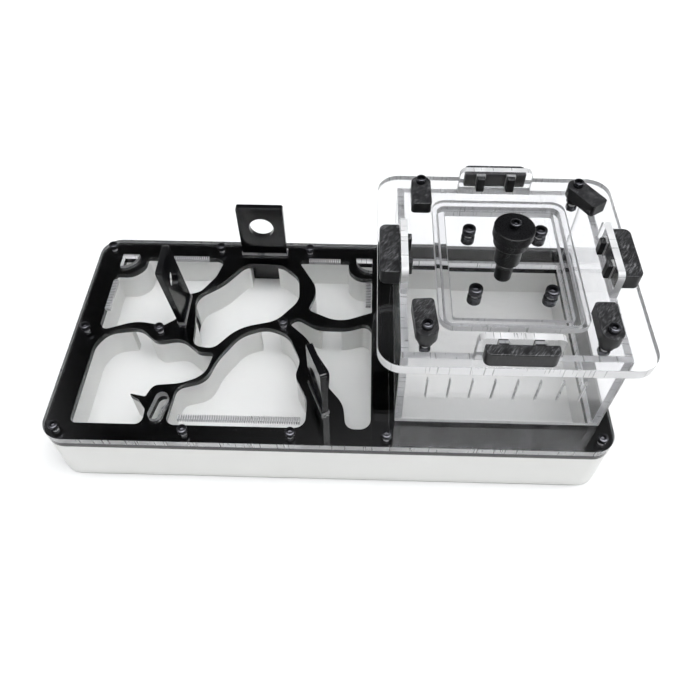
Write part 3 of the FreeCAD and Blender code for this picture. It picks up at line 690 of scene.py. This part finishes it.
@dataclass
class ForagingBox:
    """The clear walls and the top frame that the four keys lock down."""

    bench: Bench
    sides: tuple[str, ...] = ("front", "back", "left", "right")
    contact_mm: float = 0.02
    wall_edge_mm: float = 0.12
    frame_edge_mm: float = 0.3
    key_edge_mm: float = 0.45

    def build(self) -> None:
        """Dress the walls, the frame and the keys."""
        bench, shop = self.bench, self.bench.workshop
        for side in self.sides:
            wall = shop.clear_long_wall if side in ("front", "back") else shop.clear_side_wall
            bench.refined("wall_" + side, wall, Slot.CLEAR, self.contact_mm, self.wall_edge_mm)
            bench.refined("key_" + side, shop.sanded, Slot.BLACK_SATIN, 0.0, self.key_edge_mm, 3)
            LOG.info("foraging box: wall and key %s", side)
        bench.refined("top_frame", shop.clear_sheet, Slot.CLEAR, self.contact_mm, self.frame_edge_mm)
        LOG.info("foraging box: top frame")


@dataclass
class Latches:
    """Four turn latches on spacers, each with its pivot screw and nut."""

    bench: Bench
    corners: tuple[str, ...] = ("front_left", "front_right", "back_left", "back_right")
    edge_mm: float = 0.5
    spacer_edge_mm: float = 0.15

    def build(self) -> None:
        """Dress the latches and their hardware."""
        bench, shop = self.bench, self.bench.workshop
        for corner in self.corners:
            bench.refined("latch_" + corner, shop.sanded, Slot.BLACK_SATIN, 0.0, self.edge_mm, 3)
        bench.refined("latch_spacers", shop.turned, Slot.BLACK_SATIN, 0.0, self.spacer_edge_mm)
        SocketScrews(bench, "latch_screws", SMALL_SCREW).build(shop.screw)
        bench.dress("latch_nuts", shop.screw)
        LOG.info("latches with spacers, screws and nuts")


@dataclass
class Lid:
    """The clear lid with its locating ring and screws."""

    bench: Bench
    contact_mm: float = 0.02
    edge_mm: float = 0.25
    ring_edge_mm: float = 0.15
    nut_edge_mm: float = 0.2

    def build(self) -> None:
        """Dress the lid."""
        bench, shop = self.bench, self.bench.workshop
        bench.refined("lid_plate", shop.clear_sheet, Slot.CLEAR, self.contact_mm, self.edge_mm)
        bench.refined("lid_ring", shop.clear_sheet, Slot.CLEAR, self.contact_mm, self.ring_edge_mm)
        SocketScrews(bench, "lid_screws", LID_SCREW).build(shop.screw)
        bench.refined("lid_nuts", shop.screw, Slot.SCREW, 0.0, self.nut_edge_mm)
        LOG.info("lid: plate, ring, screws and nuts")


@dataclass
class FeederPlug:
    """The stacked black plug in the middle of the lid."""

    bench: Bench
    edge_mm: float = 0.3

    def build(self) -> None:
        """Dress the plug."""
        bench, shop = self.bench, self.bench.workshop
        for node in ("plug_nozzle", "plug_body", "plug_collar", "plug_cap"):
            bench.refined(node, shop.turned, Slot.BLACK_SATIN, 0.0, self.edge_mm, 3)
        SocketScrews(bench, "plug_screw", SMALL_SCREW).build(shop.screw)
        LOG.info("feeder plug")


# ---- studio ---------------------------------------------------------------------------------------
@dataclass
class Studio:
    """A pale floor, a soft surround, one lamp and the camera."""

    focal_px: float = 673.5
    image_px: float = 700.0
    sensor_mm: float = 36.0
    eye_mm: tuple[float, float, float] = (14.3, -200.85, 288.3)
    right: tuple[float, float, float] = (0.9996, 0.0278, 0.0002)
    down: tuple[float, float, float] = (0.0224, -0.8007, -0.5986)
    floor_half: float = 3.0
    floor_drop: float = 0.0002
    tooth_scale: float = 900.0
    dome: float = 0.45
    front: float = 0.03
    fade_y: tuple[float, float] = (-0.7, 0.2)
    glow: float = 8.0
    glow_at: tuple[float, float, float] = (0.12, -0.02, 0.99)
    glow_cosines: tuple[float, float] = (0.78, 0.96)
    dim: float = 0.05
    dim_at: tuple[float, float, float] = (0.0, 0.63, 0.77)
    dim_cosines: tuple[float, float] = (0.848, 0.927)
    lamp_size: float = 0.9
    lamp_watts: float = 1.6
    lamp_at: tuple[float, float, float] = (1.3, -0.2, 0.7)
    bounces: int = 24
    clear_bounces: int = 20
    cutout_bounces: int = 12
    clamp: float = 6.0

    def camera(self) -> None:
        """Place the camera: its axes are right, minus down, and their cross product."""
        data = bpy.data.cameras.new("studio_camera")
        data.sensor_width = self.sensor_mm
        data.lens = self.sensor_mm * self.focal_px / self.image_px
        data.clip_start = 0.01
        data.clip_end = 50.0
        item = bpy.data.objects.new("studio_camera", data)
        bpy.context.scene.collection.objects.link(item)
        side = Vector(self.right).normalized()
        up = -Vector(self.down)
        up = (up - side * up.dot(side)).normalized()
        back = side.cross(up)
        turn = Matrix((side, up, back)).transposed().to_4x4()
        item.matrix_world = Matrix.Translation(Vector(self.eye_mm) * MM) @ turn
        bpy.context.scene.camera = item

    def floor(self) -> None:
        """Lay the floor: flat white paper with a very fine tooth, just under the base."""
        mesh = bpy.data.meshes.new("studio_floor")
        half = self.floor_half
        corners = [(-half, -half, 0.0), (half, -half, 0.0), (half, half, 0.0), (-half, half, 0.0)]
        mesh.from_pydata(corners, [], [(0, 1, 2, 3)])
        item = bpy.data.objects.new("studio_floor", mesh)
        bpy.context.scene.collection.objects.link(item)
        material = bpy.data.materials.new("matt_white_paper")
        material.use_nodes = True
        tree = material.node_tree
        tree.nodes.clear()
        place = add_node(tree, "ShaderNodeTexCoord")
        tooth = add_node(tree, "ShaderNodeTexNoise", {
            "Vector": (place, "Object"), "Scale": self.tooth_scale})
        bump = add_node(tree, "ShaderNodeBump", {
            "Strength": 0.05, "Distance": 0.0001, "Height": (tooth, "Fac")})
        shader = add_node(tree, "ShaderNodeBsdfPrincipled", {
            "Base Color": linear("D2D2D2"), "Roughness": 0.9, "Specular IOR Level": 0.0,
            "Normal": (bump, "Normal")})
        add_node(tree, "ShaderNodeOutputMaterial", {"Surface": (shader, "BSDF")})
        mesh.materials.append(material)
        item.location = (0.0, 0.0, -self.floor_drop)

    def surround(self) -> None:
        """Light from a grey dome with a broad glow overhead.

        The dome is dimmer to the front, so the front faces stay greyer than the top, and has a dark
        patch high at the back, which the level glossy sheets mirror to the front.  The glow and the
        patch fade between two cosines of the angle from their middle.
        """
        world = bpy.data.worlds.new("studio_dome")
        bpy.context.scene.world = world
        world.use_nodes = True
        tree = world.node_tree
        tree.nodes.clear()
        place = add_node(tree, "ShaderNodeTexCoord")
        over = add_node(tree, "ShaderNodeVectorMath", {
            0: (place, "Generated"), 1: tuple(Vector(self.glow_at).normalized())}, operation="DOT_PRODUCT")
        split = add_node(tree, "ShaderNodeSeparateXYZ", {"Vector": (place, "Generated")})
        dome = add_node(tree, "ShaderNodeMapRange", {
            "Value": (split, "Y"), "From Min": self.fade_y[0], "From Max": self.fade_y[1],
            "To Min": self.front, "To Max": self.dome}, interpolation_type="SMOOTHSTEP")
        glow = add_node(tree, "ShaderNodeMapRange", {
            "Value": (over, "Value"), "From Min": self.glow_cosines[0], "From Max": self.glow_cosines[1],
            "To Min": (dome, "Result"), "To Max": self.glow}, interpolation_type="SMOOTHSTEP")
        mirror = add_node(tree, "ShaderNodeVectorMath", {
            0: (place, "Generated"), 1: tuple(Vector(self.dim_at).normalized())}, operation="DOT_PRODUCT")
        dim = add_node(tree, "ShaderNodeMapRange", {
            "Value": (mirror, "Value"), "From Min": self.dim_cosines[0], "From Max": self.dim_cosines[1],
            "To Min": 1.0, "To Max": self.dim}, interpolation_type="SMOOTHSTEP")
        power = add_node(tree, "ShaderNodeMath", {
            0: (glow, "Result"), 1: (dim, "Result")}, operation="MULTIPLY")
        sky = add_node(tree, "ShaderNodeBackground", {
            "Color": (0.98, 0.99, 1.0, 1.0), "Strength": (power, "Value")})
        add_node(tree, "ShaderNodeOutputWorld", {"Surface": (sky, "Background")})

    def lamp(self) -> None:
        """Add a soft square lamp at the right that faces the origin."""
        data = bpy.data.lights.new("side_softbox", "AREA")
        data.shape = "SQUARE"
        data.size = self.lamp_size
        data.energy = self.lamp_watts
        item = bpy.data.objects.new("side_softbox", data)
        bpy.context.scene.collection.objects.link(item)
        item.location = self.lamp_at
        item.rotation_euler = (-Vector(self.lamp_at)).to_track_quat("-Z", "Y").to_euler()

    def build(self) -> None:
        """Set up the whole studio."""
        self.floor()
        self.surround()
        self.lamp()
        scene = bpy.context.scene
        scene.view_settings.view_transform = "Standard"
        scene.cycles.use_denoising = True
        scene.cycles.max_bounces = self.bounces
        scene.cycles.transmission_bounces = self.clear_bounces
        scene.cycles.transparent_max_bounces = self.cutout_bounces
        scene.cycles.sample_clamp_indirect = self.clamp
        LOG.info("studio: floor, dome and lamp")


def main() -> None:
    """Build the nest piece by piece, then the studio."""
    logging.basicConfig(level=logging.INFO, format="%(message)s")
    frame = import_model()
    bench = Bench(frame, Workshop())
    studio = Studio()
    studio.camera()
    for part in (NestStack(bench), Gates(bench), ForagingBox(bench), Latches(bench), Lid(bench),
                 FeederPlug(bench)):
        part.build()
    studio.build()


if __name__ == "__main__":
    main()
